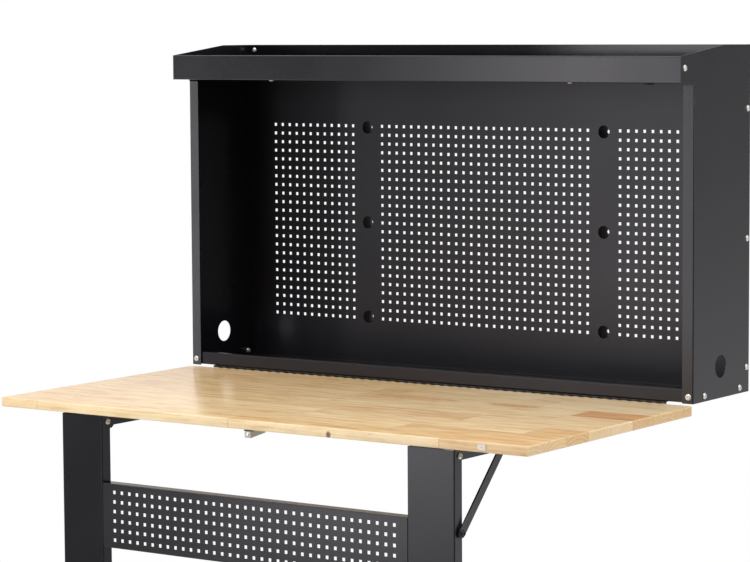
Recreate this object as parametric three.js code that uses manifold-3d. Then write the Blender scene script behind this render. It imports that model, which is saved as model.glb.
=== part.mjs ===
// Wall mounted folding workbench.
// Millimetres, +Z up, front towards -Y.
// The origin lies on the wall, in the middle of the back panel's lower hem.

import * as THREE from 'three';
import { mergeVertices } from 'three/addons/utils/BufferGeometryUtils.js';
import Module from 'manifold-3d';

const wasm = await Module();
wasm.setup();

// Sheets and fits
const sheet = 1.2;
const legSheet = 1.5;
const bracketSheet = 2;
const seatGap = 0.3;
const sideClearance = 0.8;

// Bolts
const boltRadius = 3;
const boltHoleRadius = boltRadius + seatGap;
const boltHeadRadius = 6;
const boltHeadHeight = 4;
const nutRadius = 4.5;
const nutHeight = 4;
const boltSides = 8;
const domeShoulder = 0.5;
const domeSteps = 2;
const cutReach = 5;

// Cabinet
const cabinetWidth = 1200;
const cabinetDepth = 228;
const cabinetTop = 665;
const cabinetBottom = -10;
const frontFlange = 23.5;
const flangeTopGap = 4.5;
const cableHoleRadius = 22;
const cableHoleSides = 24;
const cableHoleDepth = 118;
const cableHoleRise = 61;

// Back panel and wall rails
const panelStandoff = 22;
const wallHem = 20;
const accessHoleRadius = 13;
const accessHoleSides = 12;
const accessColumn = 286.75;
const accessMiddle = 290.5;
const accessRise = 200.7;
const wallRailWidth = 40;
const wallRailSheet = 1.5;
const wallScrewRadius = 3.7;
const wallScrewSides = 12;

// Bottom panel
const floorLift = 1.6;
const railHeight = 25.8;
const railReturn = 10;
const bottomTab = 12;

// Tool tray
const trayDepth = 282;
const trayDrop = 70;
const fasciaHeight = 50.5;
const fasciaFoot = 25;
const fasciaHem = 10;
const fasciaEnd = 32;
const trayUpstand = 20;
const slopeLength = 171;

// Long hinge
const hingeGap = 4.9;
const hingeLength = 1085;
const leafSheet = 0.7;
const leafWidth = 18;
const knuckleLength = 10.75;
const knuckleGap = 0.4;
const knuckleSides = 6;
const pinRadius = 0.9;
const pinSides = 10;
const boreRadius = 1.3;
const boreSides = 5;
const leafRelief = 0.6;

// Worktop
const worktopWidth = 1205;
const worktopThickness = 18;
const worktopFront = 600.5;
const worktopCorner = 14;
const cornerSteps = 4;
const worktopEdge = 2;
const edgeSteps = 2;
const benchHeight = 820;

// Leg frame
const legSpread = 800;
const legWidth = 99.5;
const legDepth = 24;
const legInset = 4.5;
const pivotSetback = 16.5;
const pivotDrop = 13.5;
const legTopGap = 2;
const legTopChamfer = 5;
const footPad = 10;
const footPlug = 18;
const footOverlap = 1;
const footCorner = 4;

// Leg panel
const panelDrop = 116;
const panelRows = 6;
const panelEdge = 16;
const panelMargin = 26;
const panelFlange = 25;
const holePitch = 18.4;
const holeSide = 6.6;

// Leg brackets
const cheekRadius = 12;
const cheekSteps = 5;
const wingLength = 130;
const wingDrop = 8.7;
const wingTaper = 14;
const wingTip = 2;
const gussetDrop = 14;
const gussetStart = 3;
const gussetToe = 15.7;
const gussetKnee = 22.5;
const plainToe = 6;

// Braces
const bracePivotDrop = 136.5;
const braceReach = 136.5;
const braceRise = 136.5;
const braceGap = 2.5;
const braceWidth = 17.5;
const braceThickness = 3.5;
const braceEndSteps = 6;
const studButton = 1.5;
const keeperGap = 5;
const keeperFront = 7;
const keeperRear = 20;
const keeperDepth = 22;
const keeperFoot = 30;
const slotRadius = 3.6;
const slotSteps = 6;
const slotRun = 40;

// Front catch, strike plate and magnet
const catchInset = 2;
const catchPlateWidth = 18;
const catchPlateLength = 66;
const catchWidth = 14;
const catchLength = 46;
const catchHeight = 12.4;
const catchTail = 7.4;
const rivetDrop = 5.9;
const rivetRadius = 2.5;
const rivetHeadRadius = 4;
const rivetHeadHeight = 1.6;
const strikeInset = 90.5;
const strikeWidth = 16.5;
const strikeHeight = 10.5;
const strikeThickness = 1;
const strikeHoleRadius = 1.6;
const smallHoleSides = 8;
const magnetRadius = 9;
const magnetHoleRadius = 2;
const magnetThickness = 5;
const magnetSides = 20;

// Places that follow from the sizes above
const halfWidth = cabinetWidth / 2;
const innerHalf = halfWidth - sheet - seatGap;
const panelFace = -panelStandoff;
const floorUnderside = cabinetBottom + floorLift;
const fasciaBottom = cabinetTop - trayDrop;
const fasciaTop = fasciaBottom + fasciaHeight;
const hingeY = -cabinetDepth;
const hingeZ = floorUnderside - hingeGap / 2;
const barrelRadius = hingeGap / 2 - seatGap;
const worktopTop = -hingeGap / 2;
const worktopRear = barrelRadius - leafSheet - seatGap;
const worktopUnderside = worktopTop - worktopThickness;
const legPivotY = -(worktopFront - legInset - pivotSetback);
const legPivotZ = worktopUnderside - pivotDrop;
const legBottom = -(benchHeight - worktopThickness - pivotDrop - footPad);
const legTop = pivotDrop - legTopGap;
const legFront = -pivotSetback;
const legBack = legDepth - pivotSetback;
const strikeX = halfWidth - strikeInset;
const braceLength = Math.hypot(braceReach, braceRise);
const braceAngle = Math.atan2(braceRise, braceReach);
const braceInner = legSpread / 2 + legWidth / 2 + braceGap;
const braceOuter = braceInner + braceThickness;

// Finishes
const blackPaint = new THREE.MeshStandardMaterial({ color: 0x1d1e20, roughness: 0.5, metalness: 0.1 });
const zinc = new THREE.MeshStandardMaterial({ color: 0xc8c8c4, roughness: 0.35, metalness: 0.9 });
const blackSteel = new THREE.MeshStandardMaterial({ color: 0x151515, roughness: 0.4, metalness: 0.4 });
const lacqueredWood = new THREE.MeshStandardMaterial({ color: 0xd8b27e, roughness: 0.3, metalness: 0 });
const blackPlastic = new THREE.MeshStandardMaterial({ color: 0x121212, roughness: 0.6, metalness: 0 });
const magnetSteel = new THREE.MeshStandardMaterial({ color: 0x8d8f92, roughness: 0.4, metalness: 0.8 });

// A closed geometry becomes a solid that can be joined and cut.
function solid(geometry) {
  geometry.deleteAttribute('normal');
  geometry.deleteAttribute('uv');
  const merged = mergeVertices(geometry);
  const corners = [];
  const index = merged.index.array;
  for (let i = 0; i < index.length; i += 3) {
    const [a, b, c] = [index[i], index[i + 1], index[i + 2]];
    if (a !== b && b !== c && c !== a) {
      corners.push(a, b, c);
    }
  }
  const vertProperties = Float32Array.from(merged.attributes.position.array);
  const triVerts = Uint32Array.from(corners);
  return new wasm.Manifold(new wasm.Mesh({ numProp: 3, vertProperties, triVerts }));
}

// A finished solid goes into its group as one named mesh.
function piece(group, name, body, material) {
  const { vertProperties, triVerts } = body.getMesh();
  const geometry = new THREE.BufferGeometry();
  geometry.setAttribute('position', new THREE.BufferAttribute(vertProperties, 3));
  geometry.setIndex(new THREE.BufferAttribute(triVerts, 1));
  const mesh = new THREE.Mesh(geometry, material);
  mesh.name = name;
  group.add(mesh);
}

function join(...bodies) {
  return bodies.reduce((whole, body) => whole.add(body));
}

function cut(body, ...tools) {
  return tools.reduce((rest, tool) => rest.subtract(tool), body);
}

function arc(cx, cy, radius, from, to, steps) {
  const points = [];
  for (let i = 0; i <= steps; i += 1) {
    const angle = from + (to - from) * i / steps;
    points.push([cx + radius * Math.cos(angle), cy + radius * Math.sin(angle)]);
  }
  return points;
}

function circle(cx, cy, radius, sides) {
  return arc(cx, cy, radius, 0, 2 * Math.PI, sides).slice(0, sides);
}

function outline(points, holes = []) {
  const shape = new THREE.Shape(points.map(([a, b]) => new THREE.Vector2(a, b)));
  for (const hole of holes) {
    shape.holes.push(new THREE.Path(hole.map(([a, b]) => new THREE.Vector2(a, b))));
  }
  return shape;
}

// A channel in X and Y, with its web at one value of Y and its open side at another.
function channel(middle, width, wall, web, open) {
  const half = width / 2;
  const inside = web + Math.sign(open - web) * wall;
  return outline([
    [middle - half, web], [middle + half, web], [middle + half, open], [middle + half - wall, open],
    [middle + half - wall, inside], [middle - half + wall, inside], [middle - half + wall, open],
    [middle - half, open],
  ]);
}

// An outline carried from one end to the other.
// Every corner keeps its exact value, so flush faces stay flush.
function extruded(shape, ends, place) {
  const geometry = new THREE.ExtrudeGeometry(shape, { depth: 1, bevelEnabled: false });
  const position = geometry.attributes.position;
  for (let i = 0; i < position.count; i += 1) {
    const end = position.getZ(i) < 0.5 ? ends[0] : ends[1];
    position.setXYZ(i, ...place(position.getX(i), position.getY(i), end));
  }
  return solid(geometry);
}

// An outline in Y and Z, carried along X.
function alongX(shape, x) {
  return extruded(shape, [Math.min(...x), Math.max(...x)], (y, z, end) => [end, y, z]);
}

// An outline in X and Z, carried along Y.
function alongY(shape, y) {
  return extruded(shape, [y[1], y[0]], (x, z, end) => [x, end, z]);
}

// An outline in X and Y, carried along Z.
function alongZ(shape, z) {
  return extruded(shape, z, (x, y, end) => [x, y, end]);
}

function plate(x, y, z) {
  return alongZ(outline([[x[0], y[0]], [x[1], y[0]], [x[1], y[1]], [x[0], y[1]]]), z);
}

const axisX = new THREE.Vector3(1, 0, 0);
const axisY = new THREE.Vector3(0, 1, 0);

// A profile of [distance along the axis, radius], turned about the given axis through a point.
function turned(profile, sides, axis, place) {
  const points = profile.map(([along, radius]) => new THREE.Vector2(radius, along));
  const geometry = new THREE.LatheGeometry(points, sides);
  geometry.applyQuaternion(new THREE.Quaternion().setFromUnitVectors(axisY, axis));
  geometry.translate(...place);
  return solid(geometry);
}

function rod(radius, length, sides, axis, place) {
  return turned([[0, 0], [0, radius], [length, radius], [length, 0]], sides, axis, place);
}

// The cutter for a round hole, which reaches equally far both ways from its middle.
function drill(radius, sides, axis, middle, reach) {
  const start = axis.clone().multiplyScalar(-reach).add(new THREE.Vector3(...middle));
  return rod(radius, 2 * reach, sides, axis, start.toArray());
}

// A domed bolt: nut at the start of the axis, then the shank, then the head beyond the grip.
function bolt(grip, spacer, axis, place, nut = nutHeight) {
  const profile = [[-nut, 0], [-nut, nutRadius], [0, nutRadius], [0, boltRadius]];
  for (const [along, radius] of spacer) {
    profile.push([along, radius]);
  }
  profile.push([grip, boltRadius], [grip, boltHeadRadius]);
  for (const [across, up] of arc(0, 0, 1, domeShoulder, Math.PI / 2, domeSteps)) {
    profile.push([grip + boltHeadHeight * up, boltHeadRadius * across]);
  }
  profile[profile.length - 1][1] = 0;
  return turned(profile, boltSides, axis, place);
}

// The back panel is a folded pan.
// Its flanges reach the wall, and hems lie on the wall at the top and the bottom.
function backPanel() {
  const bottom = -wallHem / 2;
  const accessHoles = [];
  for (const x of [-accessColumn, accessColumn]) {
    for (const step of [-1, 0, 1]) {
      accessHoles.push(circle(x, accessMiddle + step * accessRise, accessHoleRadius, accessHoleSides));
    }
  }
  const corners = [
    [-innerHalf, bottom], [innerHalf, bottom], [innerHalf, cabinetTop], [-innerHalf, cabinetTop],
  ];
  const across = [-innerHalf, innerHalf];
  const deep = [panelFace, 0];
  return join(
    alongY(outline(corners, accessHoles), [panelFace, panelFace + sheet]),
    plate([-innerHalf, -innerHalf + sheet], deep, [bottom, cabinetTop]),
    plate([innerHalf - sheet, innerHalf], deep, [bottom, cabinetTop]),
    plate(across, deep, [bottom, bottom + sheet]),
    plate(across, deep, [cabinetTop - sheet, cabinetTop]),
    plate(across, [-sheet, 0], [bottom, bottom + wallHem]),
    plate(across, [-sheet, 0], [cabinetTop - wallHem, cabinetTop]),
  );
}

function wallRail(side) {
  const middle = side * accessColumn;
  const front = panelFace + sheet + seatGap;
  const reach = [wallHem / 2 + seatGap, cabinetTop - wallHem - seatGap];
  const screwHoles = [-1, 0, 1].map((step) => drill(
    wallScrewRadius, wallScrewSides, axisY, [middle, 0, accessMiddle + step * accessRise], cutReach));
  return cut(alongZ(channel(middle, wallRailWidth, wallRailSheet, 0, front), reach), ...screwHoles);
}

// Each side panel has a cable hole, a flange across the front, and an ear beside the tray.
function sidePanel(side) {
  const points = [
    [0, cabinetBottom], [-cabinetDepth, cabinetBottom], [-cabinetDepth, fasciaBottom],
    [-trayDepth, fasciaBottom], [-trayDepth, fasciaTop],
    [slopeLength - trayDepth, cabinetTop], [0, cabinetTop],
  ];
  const cableHole = circle(-cableHoleDepth, cabinetBottom + cableHoleRise, cableHoleRadius, cableHoleSides);
  return join(
    alongX(outline(points, [cableHole]), [side * halfWidth, side * (halfWidth - sheet)]),
    plate(
      [side * halfWidth, side * (halfWidth - frontFlange)],
      [-cabinetDepth, -cabinetDepth + sheet],
      [cabinetBottom, fasciaBottom - flangeTopGap],
    ),
  );
}

// The bottom panel's front edge is turned up into the rail behind the side flanges.
function bottomPanel() {
  const across = [-innerHalf, innerHalf];
  const front = -cabinetDepth + sheet + seatGap;
  const back = panelFace - seatGap;
  const railTop = floorUnderside + railHeight;
  const tab = [floorUnderside, floorUnderside + bottomTab];
  return join(
    plate(across, [front, back], [floorUnderside, floorUnderside + sheet]),
    plate(across, [front, front + sheet], [floorUnderside, railTop]),
    plate(across, [front, front + railReturn], [railTop - sheet, railTop]),
    plate(across, [back - sheet, back], tab),
    plate([-innerHalf, -innerHalf + sheet], [front + railReturn, back], tab),
    plate([innerHalf - sheet, innerHalf], [front + railReturn, back], tab),
  );
}

function trayFloor() {
  const across = [-innerHalf, innerHalf];
  const low = fasciaBottom + sheet + seatGap;
  const front = -trayDepth + sheet + seatGap;
  const sideFront = -trayDepth + fasciaEnd + seatGap;
  const back = panelFace - seatGap;
  const upstand = [low, low + trayUpstand];
  return join(
    plate(across, [front, back], [low, low + sheet]),
    plate(across, [back - sheet, back], upstand),
    plate([-innerHalf, -innerHalf + sheet], [sideFront, back], upstand),
    plate([innerHalf - sheet, innerHalf], [sideFront, back], upstand),
  );
}

// The fascia is the deep lip of the tray.
// It has a foot under the tray floor, a hem along the top, and ends on the ears.
function trayFascia() {
  const across = [-innerHalf, innerHalf];
  const front = -trayDepth;
  const ends = [fasciaBottom + 2 * sheet + 2 * seatGap, fasciaTop];
  return join(
    plate(across, [front, front + sheet], [fasciaBottom, fasciaTop]),
    plate(across, [front, front + fasciaFoot], [fasciaBottom, fasciaBottom + sheet]),
    plate(across, [front, front + fasciaHem], [fasciaTop - sheet, fasciaTop]),
    plate([-innerHalf, -innerHalf + sheet], [front, front + fasciaEnd], ends),
    plate([innerHalf - sheet, innerHalf], [front, front + fasciaEnd], ends),
  );
}

// One leaf of the long hinge, with every second knuckle, drawn as a leaf that runs back above the pin.
function hingeLeaf(first, turn) {
  const half = hingeLength / 2;
  const plateStart = barrelRadius + leafRelief;
  const tangEnd = plateStart + leafSheet;
  const low = barrelRadius - leafSheet;
  const strip = [[plateStart, low], [leafWidth, low], [leafWidth, barrelRadius], [plateStart, barrelRadius]];
  const curlEnd = 2 * Math.PI + Math.asin(low / barrelRadius);
  const curl = arc(0, 0, barrelRadius, Math.PI / 2, curlEnd, knuckleSides);
  const knuckle = [[tangEnd, barrelRadius], ...curl, [tangEnd, low]];
  const shape = outline(knuckle.map(turn), [circle(0, 0, boreRadius, boreSides)]);
  const count = Math.round(hingeLength / knuckleLength);
  const length = hingeLength / count;
  let leaf = alongX(outline(strip.map(turn)), [-half, half]);
  for (let i = first; i < count; i += 2) {
    const start = -half + i * length;
    leaf = leaf.add(alongX(shape, [start + knuckleGap / 2, start + length - knuckleGap / 2]));
  }
  return leaf;
}

// The cabinet's leaf lies flat under the cabinet floor. The worktop's leaf hangs on the worktop's rear edge.
function lying([y, z]) {
  return [y, z];
}

function hanging([y, z]) {
  return [z, -y];
}

// The worktop has rounded corners and a small round along every edge.
function worktop() {
  const half = worktopWidth / 2;
  const corners = [
    [half, worktopRear, 0], [-half, worktopRear, 1], [-half, -worktopFront, 2], [half, -worktopFront, 3],
  ];
  const points = corners.flatMap(([x, y, quarter]) => arc(
    x - Math.sign(x) * worktopCorner, y - Math.sign(y) * worktopCorner, worktopCorner,
    quarter * Math.PI / 2, (quarter + 1) * Math.PI / 2, cornerSteps));
  const geometry = new THREE.ExtrudeGeometry(outline(points), {
    depth: worktopThickness - 2 * worktopEdge,
    bevelThickness: worktopEdge,
    bevelSize: worktopEdge,
    bevelOffset: -worktopEdge,
    bevelSegments: edgeSteps,
  });
  geometry.translate(0, 0, worktopUnderside + worktopEdge);
  return solid(geometry);
}

// A leg bracket: a foot under the worktop and two cheeks inside the leg, each with a wing that runs back.
// The cheek nearer the middle of the bench has a gusset behind its pivot.
function legBracket(side) {
  const middle = side * legSpread / 2;
  const half = legWidth / 2 - legSheet - sideClearance;
  const footTop = pivotDrop - seatGap;
  const footBottom = footTop - bracketSheet;
  const gusset = [[gussetStart, -gussetDrop], [gussetToe, -gussetDrop], [gussetKnee, -wingDrop]];
  const cheek = (toe) => outline([
    [-cheekRadius, footTop],
    ...arc(0, 0, cheekRadius, Math.PI, 1.5 * Math.PI, cheekSteps),
    ...toe,
    [wingLength - wingTaper, -wingDrop], [wingLength, footBottom - wingTip], [wingLength, footTop],
  ], [circle(0, 0, boltHoleRadius, boltSides)]);
  const inner = [middle - side * half, middle - side * (half - bracketSheet)];
  const outer = [middle + side * (half - bracketSheet), middle + side * half];
  return join(
    plate([middle - half, middle + half], [-cheekRadius, wingLength], [footBottom, footTop]),
    alongX(cheek(gusset), inner),
    alongX(cheek([[plainToe, -wingDrop]]), outer),
  );
}

// A leg pivot bolt, through one cheek of the bracket and one side of the leg.
function pivotBolt(side, out) {
  const cheekInside = legWidth / 2 - legSheet - sideClearance - bracketSheet - seatGap;
  const grip = legWidth / 2 + seatGap - cheekInside;
  const axis = axisX.clone().multiplyScalar(out);
  return bolt(grip, [], axis, [side * legSpread / 2 + out * cheekInside, 0, 0]);
}

// A leg is a channel that is open at the back. Only its outer side has a hole for the brace bolt.
function leg(side) {
  const middle = side * legSpread / 2;
  const ends = [middle - legWidth, middle + legWidth];
  const far = legBack + legTop;
  const corner = [[legBack - legTopChamfer, legTop], [far, -legTopChamfer], [far, 2 * legTop]];
  const outside = middle + side * legWidth / 2;
  return cut(
    alongZ(channel(middle, legWidth, legSheet, legFront, legBack), [legBottom, legTop]),
    alongX(outline(corner), ends),
    drill(boltHoleRadius, boltSides, axisX, [middle, 0, 0], legWidth),
    drill(boltHoleRadius, boltSides, axisX, [outside, 0, -bracePivotDrop], cutReach),
  );
}

function foot(side) {
  const middle = side * legSpread / 2;
  const half = legWidth / 2;
  const inside = half - legSheet - seatGap;
  const pad = [
    [middle - half, legFront + footCorner], [middle - half + footCorner, legFront],
    [middle + half - footCorner, legFront], [middle + half, legFront + footCorner],
    [middle + half, legBack - footCorner], [middle + half - footCorner, legBack],
    [middle - half + footCorner, legBack], [middle - half, legBack - footCorner],
  ];
  const padTop = legBottom - seatGap;
  return join(
    alongZ(outline(pad), [legBottom - footPad, padTop]),
    plate(
      [middle - inside, middle + inside],
      [legFront + legSheet + seatGap, legBack - footCorner],
      [padTop - footOverlap, legBottom + footPlug],
    ),
  );
}

// The leg panel's perforations are a square grid, centred between the legs.
function legPanel() {
  const half = legSpread / 2 - legWidth / 2 - seatGap;
  const top = -panelDrop;
  const bottom = top - 2 * panelEdge - (panelRows - 1) * holePitch;
  const columns = Math.floor((2 * half - 2 * panelMargin) / holePitch) + 1;
  const reach = holeSide / 2;
  let face = plate([-half, half], [legFront, legFront + sheet], [bottom, top]);
  for (let column = 0; column < columns; column += 1) {
    for (let row = 0; row < panelRows; row += 1) {
      const x = (column - (columns - 1) / 2) * holePitch;
      const z = top - panelEdge - row * holePitch;
      const through = [legFront - cutReach, legFront + cutReach];
      face = cut(face, plate([x - reach, x + reach], through, [z - reach, z + reach]));
    }
  }
  const deep = [legFront, legFront + panelFlange];
  return join(
    face,
    plate([-half, half], deep, [top - sheet, top]),
    plate([-half, half], deep, [bottom, bottom + sheet]),
    plate([-half, -half + sheet], deep, [bottom, top]),
    plate([half - sheet, half], deep, [bottom, top]),
  );
}

// The brace bolt holds the brace off the leg with a spacer.
function braceBolt(side) {
  const flangeInside = legSpread / 2 + legWidth / 2 - legSheet - seatGap;
  const spacerStart = legSheet + 2 * seatGap;
  const spacerEnd = braceInner - seatGap - flangeInside;
  const spacer = [
    [spacerStart, boltRadius], [spacerStart, nutRadius], [spacerEnd, nutRadius], [spacerEnd, boltRadius],
  ];
  const grip = braceOuter + seatGap - flangeInside;
  return bolt(grip, spacer, axisX.clone().multiplyScalar(side), [side * flangeInside, 0, -bracePivotDrop]);
}

// A brace is a flat bar with round ends. It runs along Y from its bolt.
function brace(side) {
  const half = braceWidth / 2;
  const bar = outline([
    ...arc(0, 0, half, Math.PI / 2, 1.5 * Math.PI, braceEndSteps),
    ...arc(braceLength, 0, half, -Math.PI / 2, Math.PI / 2, braceEndSteps),
  ]);
  const hole = (y) => drill(boltHoleRadius, boltSides, axisX, [side * braceOuter, y, 0], cutReach);
  return cut(alongX(bar, [side * braceInner, side * braceOuter]), hole(0), hole(braceLength));
}

// The stud on a brace's upper end slides into the slot of its keeper.
// A low button holds it on the leg's side.
function braceStud(side) {
  const start = braceInner - seatGap;
  const grip = braceOuter + keeperGap + bracketSheet + seatGap - start;
  return bolt(grip, [], axisX.clone().multiplyScalar(side), [side * start, braceLength, 0], studButton);
}

// The keeper's slot opens along the path that the stud takes as the leg frame starts to fold.
function braceKeeper(side) {
  const inner = braceOuter + keeperGap;
  const seat = [braceReach, braceRise - bracePivotDrop];
  const turn = braceAngle / (Math.PI / 2);
  const heading = Math.atan2(-braceReach * turn, bracePivotDrop + braceRise * turn);
  const exit = [seat[0] + slotRun * Math.cos(heading), seat[1] + slotRun * Math.sin(heading)];
  const slot = [
    ...arc(...seat, slotRadius, heading + Math.PI / 2, heading + 1.5 * Math.PI, slotSteps),
    ...arc(...exit, slotRadius, heading - Math.PI / 2, heading + Math.PI / 2, 1),
  ];
  const reach = [seat[0] - keeperFront, seat[0] + keeperRear];
  const top = pivotDrop - seatGap;
  const low = top - keeperDepth;
  const tongue = outline([[reach[0], top], [reach[0], low], [reach[1], low], [reach[1], top]]);
  return join(
    cut(
      alongX(tongue, [side * inner, side * (inner + bracketSheet)]),
      alongX(outline(slot), [side * (inner - cutReach), side * (inner + cutReach)]),
    ),
    plate([side * inner, side * (inner + keeperFoot)], reach, [top - bracketSheet, top]),
  );
}

const catchFront = -worktopFront + catchInset;
const catchPlateTop = worktopUnderside - seatGap;
const catchTop = catchPlateTop - bracketSheet - seatGap;

function catchPlate() {
  const half = catchPlateWidth / 2;
  const length = [catchFront, catchFront + catchPlateLength];
  return plate([-half, half], length, [catchPlateTop - bracketSheet, catchPlateTop]);
}

// The catch bracket is folded from one strip: a square face, two tapering cheeks and a roof.
function catchBracket() {
  const half = catchWidth / 2;
  const back = catchFront + catchLength;
  const body = [
    [catchFront, catchTop], [catchFront, catchTop - catchHeight],
    [back, catchTop - catchTail], [back, catchTop],
  ];
  const below = catchTop - catchHeight - cutReach;
  const hollow = [
    [catchFront + sheet, catchTop - sheet], [catchFront + sheet, below],
    [back + cutReach, below], [back + cutReach, catchTop - sheet],
  ];
  const rivetPlace = [0, catchFront, catchTop - rivetDrop];
  const rivetHole = drill(rivetRadius + seatGap, boltSides, axisY, rivetPlace, cutReach);
  return cut(
    alongX(outline(body), [-half, half]),
    alongX(outline(hollow), [-half + sheet, half - sheet]),
    rivetHole,
  );
}

function catchRivet() {
  const outside = -seatGap;
  const inside = sheet + seatGap;
  const profile = [
    [outside - rivetHeadHeight, 0], [outside - rivetHeadHeight, rivetRadius], [outside, rivetHeadRadius],
    [outside, rivetRadius], [inside, rivetRadius], [inside, rivetHeadRadius],
    [inside + rivetHeadHeight, rivetHeadRadius], [inside + rivetHeadHeight, 0],
  ];
  return turned(profile, boltSides, axisY, [0, catchFront, catchTop - rivetDrop]);
}

const edgeMiddle = worktopTop - worktopThickness / 2;

function strikePlate() {
  const [left, right] = [strikeX - strikeWidth / 2, strikeX + strikeWidth / 2];
  const [low, high] = [edgeMiddle - strikeHeight / 2, edgeMiddle + strikeHeight / 2];
  const screwHole = circle(strikeX, edgeMiddle, strikeHoleRadius, smallHoleSides);
  const shape = outline([[left, low], [right, low], [right, high], [left, high]], [screwHole]);
  const back = -worktopFront - seatGap;
  return alongY(shape, [back - strikeThickness, back]);
}

// The magnet sits under the tray floor, where the strike plate meets it when the worktop is up.
function catchMagnet() {
  const top = fasciaBottom + sheet;
  const ring = outline(
    circle(strikeX, hingeY + edgeMiddle, magnetRadius, magnetSides),
    [circle(strikeX, hingeY + edgeMiddle, magnetHoleRadius, smallHoleSides)],
  );
  return alongZ(ring, [top - magnetThickness, top]);
}

const workbench = new THREE.Group();

const cabinet = new THREE.Group();
workbench.add(cabinet);
piece(cabinet, 'back_panel', backPanel(), blackPaint);
piece(cabinet, 'left_side_panel', sidePanel(-1), blackPaint);
piece(cabinet, 'right_side_panel', sidePanel(1), blackPaint);
piece(cabinet, 'bottom_panel', bottomPanel(), blackPaint);
piece(cabinet, 'tray_floor', trayFloor(), blackPaint);
piece(cabinet, 'tray_fascia', trayFascia(), blackPaint);
piece(cabinet, 'left_wall_rail', wallRail(-1), blackPaint);
piece(cabinet, 'right_wall_rail', wallRail(1), blackPaint);
piece(cabinet, 'catch_magnet', catchMagnet(), magnetSteel);

const hinge = new THREE.Group();
hinge.position.set(0, hingeY, hingeZ);
cabinet.add(hinge);
piece(hinge, 'cabinet_hinge_leaf', hingeLeaf(0, lying), blackSteel);
piece(hinge, 'hinge_pin', rod(pinRadius, hingeLength, pinSides, axisX, [-hingeLength / 2, 0, 0]), blackSteel);

const foldingTop = new THREE.Group();
foldingTop.position.set(0, hingeY, hingeZ);
workbench.add(foldingTop);
piece(foldingTop, 'worktop', worktop(), lacqueredWood);
piece(foldingTop, 'worktop_hinge_leaf', hingeLeaf(1, hanging), zinc);
piece(foldingTop, 'front_catch_plate', catchPlate(), blackSteel);
piece(foldingTop, 'front_catch_bracket', catchBracket(), zinc);
piece(foldingTop, 'front_catch_rivet', catchRivet(), zinc);
piece(foldingTop, 'strike_plate', strikePlate(), zinc);

const legMounts = new THREE.Group();
legMounts.position.set(0, legPivotY, legPivotZ);
foldingTop.add(legMounts);

const legFrame = new THREE.Group();
legFrame.position.copy(legMounts.position);
foldingTop.add(legFrame);
piece(legFrame, 'leg_panel', legPanel(), blackPaint);

for (const [hand, side] of [['left', -1], ['right', 1]]) {
  piece(legMounts, `${hand}_leg_bracket`, legBracket(side), blackPaint);
  piece(legMounts, `${hand}_outer_pivot_bolt`, pivotBolt(side, side), zinc);
  piece(legMounts, `${hand}_inner_pivot_bolt`, pivotBolt(side, -side), zinc);
  piece(legMounts, `${hand}_brace_keeper`, braceKeeper(side), blackPaint);

  piece(legFrame, `${hand}_leg`, leg(side), blackPaint);
  piece(legFrame, `${hand}_foot`, foot(side), blackPlastic);
  piece(legFrame, `${hand}_brace_bolt`, braceBolt(side), blackSteel);

  const braceGroup = new THREE.Group();
  braceGroup.position.set(0, 0, -bracePivotDrop);
  braceGroup.rotation.x = braceAngle;
  legFrame.add(braceGroup);
  piece(braceGroup, `${hand}_brace`, brace(side), blackPaint);
  piece(braceGroup, `${hand}_brace_stud`, braceStud(side), zinc);
}

export default workbench;
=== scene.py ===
"""Looks of a wall mounted folding workbench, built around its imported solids.

Metres, +Z up, front towards -Y. Angles are in degrees.
"""

import math

import bmesh
import bpy
from mathutils import Matrix, Vector


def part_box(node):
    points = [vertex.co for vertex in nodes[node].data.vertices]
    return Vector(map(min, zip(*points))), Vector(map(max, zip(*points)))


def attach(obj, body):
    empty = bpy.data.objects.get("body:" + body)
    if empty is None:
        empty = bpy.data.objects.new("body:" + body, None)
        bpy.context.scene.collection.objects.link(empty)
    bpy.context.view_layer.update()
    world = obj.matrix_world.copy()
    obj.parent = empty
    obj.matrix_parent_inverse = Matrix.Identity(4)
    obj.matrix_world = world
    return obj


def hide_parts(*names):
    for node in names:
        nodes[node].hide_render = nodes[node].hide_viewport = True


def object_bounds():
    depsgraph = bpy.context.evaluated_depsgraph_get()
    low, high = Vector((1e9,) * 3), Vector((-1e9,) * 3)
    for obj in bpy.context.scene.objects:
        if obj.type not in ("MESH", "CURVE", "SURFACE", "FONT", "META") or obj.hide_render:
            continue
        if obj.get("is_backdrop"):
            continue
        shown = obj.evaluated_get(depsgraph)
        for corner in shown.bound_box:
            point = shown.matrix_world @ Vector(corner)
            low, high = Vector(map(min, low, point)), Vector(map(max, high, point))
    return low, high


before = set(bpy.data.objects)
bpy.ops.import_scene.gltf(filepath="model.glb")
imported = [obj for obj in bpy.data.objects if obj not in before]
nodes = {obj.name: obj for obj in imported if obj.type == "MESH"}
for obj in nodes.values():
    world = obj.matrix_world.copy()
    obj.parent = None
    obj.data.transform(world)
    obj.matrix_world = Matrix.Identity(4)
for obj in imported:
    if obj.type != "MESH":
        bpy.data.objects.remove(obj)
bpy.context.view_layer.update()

# Camera of the photograph
IMAGE_WIDTH = 750
FOCAL_PIXELS = 2796.2
SENSOR_WIDTH = 36.0
CAMERA_PLACE = (3.0772, -4.8729, 0.7060)
CAMERA_YAW = 34.602
CAMERA_PITCH = 5.229
CAMERA_ROLL = 0.337
CAMERA_REACH = 60.0

# Mesh work
SAME_POINT = 1e-7
SAME_CORNER = 1e-6
GRID_DIGITS = 6
FLAT_ANGLE = 0.5
BEVEL_ANGLE = 30
BEVEL_STEPS = 2
SLAB_SMOOTH = 40
SCREW_SMOOTH = 32

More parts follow.
